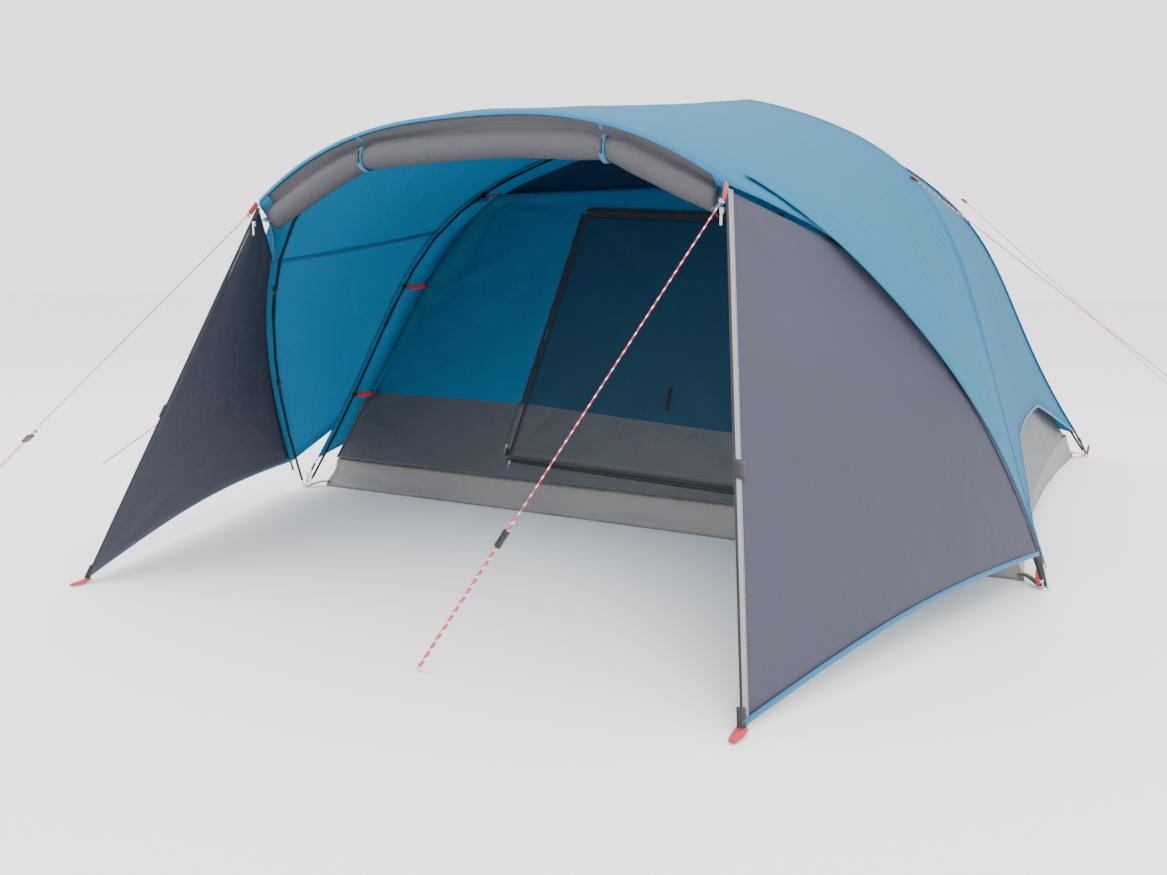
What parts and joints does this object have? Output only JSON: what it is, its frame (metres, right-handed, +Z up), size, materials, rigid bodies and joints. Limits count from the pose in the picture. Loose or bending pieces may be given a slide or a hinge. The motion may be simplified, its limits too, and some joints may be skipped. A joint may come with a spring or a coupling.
{
  "type": "dome tent with porch",
  "caption": "Two-pole dome tent with a forward-leaning porch pole, flysheet with side wings and rolled porch door, hung inner tent with swinging mesh door, zip sliders and guy lines.",
  "frame": {"origin": "middle of the groundsheet's underside, on the ground", "axes": "+Z up; the porch faces -Y; +X is to the right of someone looking at the porch"},
  "size_m": [4.2908, 4.5466, 1.4561],
  "materials": {
    "pole": "smooth black glassfibre",
    "elastic": "braided elastic",
    "steel": "plated wire and die-cast zip sliders",
    "runner": "moulded",
    "cord": "braided cord, red with light flecks",
    "wing_fabric": "coated polyester",
    "fly_fabric": "coated polyester",
    "mesh_fabric": "fine netting and thin cloth",
    "groundsheet": "coated woven sheet",
    "inner_fabric": "uncoated polyester"
  },
  "bodies": {
    "root": {"dome_pole_a_1": "pole", "dome_pole_a_2": "pole", "dome_pole_a_3": "pole", "dome_pole_a_4": "pole", "dome_pole_a_5": "pole", "dome_pole_a_6": "pole", "dome_pole_a_7": "pole", "dome_pole_a_shock_cord": "elastic", "dome_pole_b_1": "pole", "dome_pole_b_2": "pole", "dome_pole_b_3": "pole", "dome_pole_b_4": "pole", "dome_pole_b_5": "pole", "dome_pole_b_6": "pole", "dome_pole_b_7": "pole", "dome_pole_b_shock_cord": "elastic", "porch_pole_1": "pole", "porch_pole_2": "pole", "porch_pole_3": "pole", "porch_pole_4": "pole", "porch_pole_5": "pole", "porch_pole_shock_cord": "elastic", "pin_dome_front_left": "steel", "pin_dome_front_right": "steel", "pin_dome_rear_left": "steel", "pin_dome_rear_right": "steel", "pin_porch_left": "steel", "pin_porch_right": "steel", "corner_ring_front_left": "steel", "corner_ring_front_right": "steel", "corner_ring_rear_left": "steel", "corner_ring_rear_right": "steel", "porch_canopy": "fly_fabric", "fly_left_side": "fly_fabric", "fly_right_side": "fly_fabric", "fly_rear": "fly_fabric", "wing_left": "wing_fabric", "wing_right": "wing_fabric", "rolled_porch_door": "wing_fabric", "groundsheet_tub": "groundsheet", "inner_front_wall": "inner_fabric", "inner_left_wall": "inner_fabric", "inner_right_wall": "inner_fabric", "inner_rear_wall": "inner_fabric", "inner_mesh_roof": "mesh_fabric", "guy_porch_left": "cord", "guy_porch_right": "cord", "guy_front_left": "cord", "guy_front_right": "cord", "guy_rear_right": "cord"},
    "inner_door": {"inner_door": "mesh_fabric"},
    "porch_slider_left": {"porch_zip_slider_left": "steel"},
    "porch_slider_right": {"porch_zip_slider_right": "steel"},
    "door_slider_up": {"door_zip_slider_up": "steel"},
    "door_slider_across": {"door_zip_slider_across": "steel"},
    "runner_porch_left": {"guy_runner_porch_left": "runner"},
    "runner_porch_right": {"guy_runner_porch_right": "runner"},
    "runner_front_left": {"guy_runner_front_left": "runner"},
    "runner_front_right": {"guy_runner_front_right": "runner"},
    "runner_rear_right": {"guy_runner_rear_right": "runner"}
  },
  "joints": [
    {"name": "inner_door_swing", "type": "hinge", "parent": "root", "child": "inner_door", "pos_m": [0.47, -1.04725, 0.15], "axis": [-0.0819, 0.3581, 0.9301], "range_deg": [-30, 40]},
    {"name": "porch_zip_left", "type": "slide", "parent": "root", "child": "porch_slider_left", "axis": [-0.2036, -0.3971, -0.8949], "range_m": [0, 0.85]},
    {"name": "porch_zip_right", "type": "slide", "parent": "root", "child": "porch_slider_right", "axis": [0.2036, -0.3971, -0.8949], "range_m": [0, 0.85]},
    {"name": "door_zip_up", "type": "slide", "parent": "root", "child": "door_slider_up", "axis": [0.137, 0.3559, 0.9244], "range_m": [0, 0.79]},
    {"name": "door_zip_across", "type": "slide", "parent": "root", "child": "door_slider_across", "axis": [0.9995, -0.0108, -0.0281], "range_m": [0, 0.84]},
    {"name": "tension_porch_left", "type": "slide", "parent": "root", "child": "runner_porch_left", "axis": [-0.8248, -0.0307, -0.5647], "range_m": [0, 0.3]},
    {"name": "tension_porch_right", "type": "slide", "parent": "root", "child": "runner_porch_right", "axis": [-0.3909, -0.4019, -0.8281], "range_m": [0, 0.22]},
    {"name": "tension_front_left", "type": "slide", "parent": "root", "child": "runner_front_left", "axis": [-0.7819, -0.2748, -0.5596], "range_m": [0, 0.3]},
    {"name": "tension_front_right", "type": "slide", "parent": "root", "child": "runner_front_right", "axis": [0.5634, 0.6713, -0.4816], "range_m": [0, 0.3]},
    {"name": "tension_rear_right", "type": "slide", "parent": "root", "child": "runner_rear_right", "axis": [0.5062, 0.7023, -0.5006], "range_m": [0, 0.3]}
  ]
}
